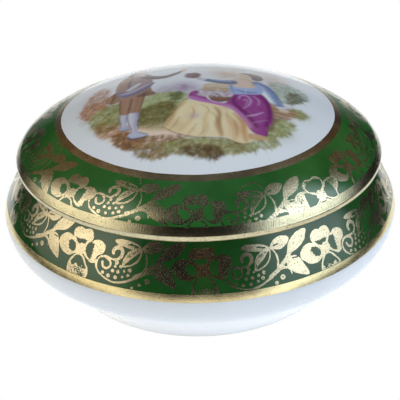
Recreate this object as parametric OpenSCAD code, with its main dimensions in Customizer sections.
// Round porcelain trinket box: a squat bowl on a foot ring, and a domed lift-off lid.
// Millimetres, +Z up. The origin is the centre of the foot ring, on the table.
// Both pieces are turned shapes, so each one is a single outline swept round the Z axis.

/* [Bowl] */
// Greatest outer diameter of the bowl, at its belly
belly_d = 110; // [106:0.5:114]
// Height of the belly above the table
belly_h = 21; // [19.5:0.5:22.5]
// Outer diameter of the ledge that carries the lid
ledge_d = 95.2; // [94:0.2:96]
// Height of the ledge above the table
ledge_h = 35.2; // [34.2:0.2:37]
// Thickness of the bowl's wall at the belly, and of its floor
wall = 3; // [2.6:0.1:3.4]

/* [Foot ring] */
// Outer diameter of the foot ring where it meets the table
foot_d = 81; // [78:0.5:83]
// Height of the foot ring, and depth of the recess inside it
foot_h = 2.2; // [1.6:0.1:3]
// Width of the foot ring's flat face
foot_face_w = 2.6; // [2:0.1:4]

/* [Collar] */
// Outer diameter of the collar that keeps the lid in place
collar_d = 89.2; // [88:0.2:90]
// Height of the collar above the ledge
collar_h = 2.6; // [2.2:0.1:2.8]
// Thickness of the collar
collar_w = 2.2; // [1.8:0.1:2.6]
// Gap all round between the collar and the lid
collar_gap = 0.5; // [0.3:0.1:0.8]

/* [Lid] */
// Height of the crown above the ledge
crown_rise = 18.1; // [16.5:0.1:19.5]
// Diameter of the dome where the rim begins
dome_d = 97.2; // [96.8:0.1:97.6]
// Thickness of the dome at its crown
crown_w = 3; // [2.5:0.1:3.5]
// Radius of the thick roll at the rim's lower edge
roll_r = 0.95; // [0.8:0.05:1.05]
// Radius of the thin ridge above the roll
ridge_r = 0.5; // [0.4:0.05:0.6]

/* [Hidden] */

sweep_fn = 180; // segments round the axis
curve_steps = 18; // segments along a long curve
edge_steps = 6; // segments round a small edge
edge_r = 0.45; // softness of the fired edges

belly_r = belly_d / 2;
ledge_r = ledge_d / 2;
foot_r = foot_d / 2;
collar_r = collar_d / 2;
dome_r = dome_d / 2;
recess_r = collar_r + collar_gap;
floor_h = foot_h + wall;
crown_h = ledge_h + crown_rise;

roll_c = [dome_r + 0.3, ledge_h + roll_r];
ridge_c = [dome_r - 0.15, roll_c[1] + roll_r + ridge_r + 0.15];
dome_edge = [dome_r, ridge_c[1] + 0.8 * ridge_r];

// Points along the cubic curve that runs from a to d and is pulled towards b and c
function curve(a, b, c, d) = [for (i = [0 : curve_steps]) let (t = i / curve_steps, u = 1 - t)
    u * u * u * a + 3 * u * u * t * b + 3 * u * t * t * c + t * t * t * d];

// Points along a round edge of radius r about c, from one angle to the other
function edge(c, r, from, to) = [for (i = [0 : edge_steps]) let (a = from + (to - from) * i / edge_steps)
    c + r * [cos(a), sin(a)]];

// Foot ring, from the middle of the recess under the floor to the outside of the ring
function foot_outline() = concat(
    [[0, foot_h]],
    [[foot_r - foot_face_w - edge_r - 1, foot_h]],
    edge([foot_r - foot_face_w, edge_r], edge_r, 200, 270),
    edge([foot_r - edge_r, edge_r], edge_r, 270, 330));

// Outside of the bowl, from the foot ring out to the belly and in to the ledge
function bowl_outside() = concat(
    curve([foot_r + 1.3, foot_h], [foot_r + 11.05, foot_h + 11.9],
        [belly_r, belly_h - 6.7], [belly_r, belly_h]),
    curve([belly_r, belly_h], [belly_r, belly_h + 2.6],
        [ledge_r + 0.7, ledge_h - 2.3], [ledge_r, ledge_h - edge_r]));

// Ledge and collar, from the outer edge of the ledge to the inside of the collar
function collar_outline() = concat(
    edge([ledge_r - edge_r, ledge_h - edge_r], edge_r, 15, 90),
    [[collar_r, ledge_h]],
    edge([collar_r - collar_w / 2, ledge_h + collar_h - collar_w / 2], collar_w / 2, 0, 180));

// Inside of the bowl, from the collar down to the middle of the floor
function bowl_inside() = concat(
    curve([collar_r - collar_w, ledge_h], [collar_r - collar_w, ledge_h - 2.5],
        [belly_r - wall, belly_h + 2.6], [belly_r - wall, belly_h]),
    curve([belly_r - wall, belly_h], [belly_r - wall, belly_h - 4.5],
        [foot_r + 0.5, floor_h], [foot_r - 4.5, floor_h]),
    [[0, floor_h]]);

// Outside of the lid, from the crown down the dome, over the ridge and round the roll
function lid_outside() = concat(
    curve([0, crown_h], [27, crown_h], [dome_r + 0.4, dome_edge[1] + 2], dome_edge),
    edge(ridge_c, ridge_r, 50, -60),
    edge(roll_c, roll_r, 100, -90));

// Underside of the lid, from the seat up the recess that clears the collar to the crown
function lid_inside() = concat(
    edge([recess_r + edge_r, ledge_h + edge_r], edge_r, 270, 180),
    curve([recess_r, ledge_h + collar_h + 0.2], [recess_r, ledge_h + collar_h + 2.6],
        [24, crown_h - crown_w], [0, crown_h - crown_w]));

// Bowl with its foot ring, ledge and collar, fired as one piece
module bowl() {
    color("ghostwhite")
        rotate_extrude($fn = sweep_fn)
            polygon(concat(foot_outline(), bowl_outside(), collar_outline(), bowl_inside()));
}

// Lid with its moulded rim, fired as one piece
module lid() {
    color("darkgreen")
        rotate_extrude($fn = sweep_fn)
            polygon(concat(lid_outside(), lid_inside()));
}

bowl();
lid();
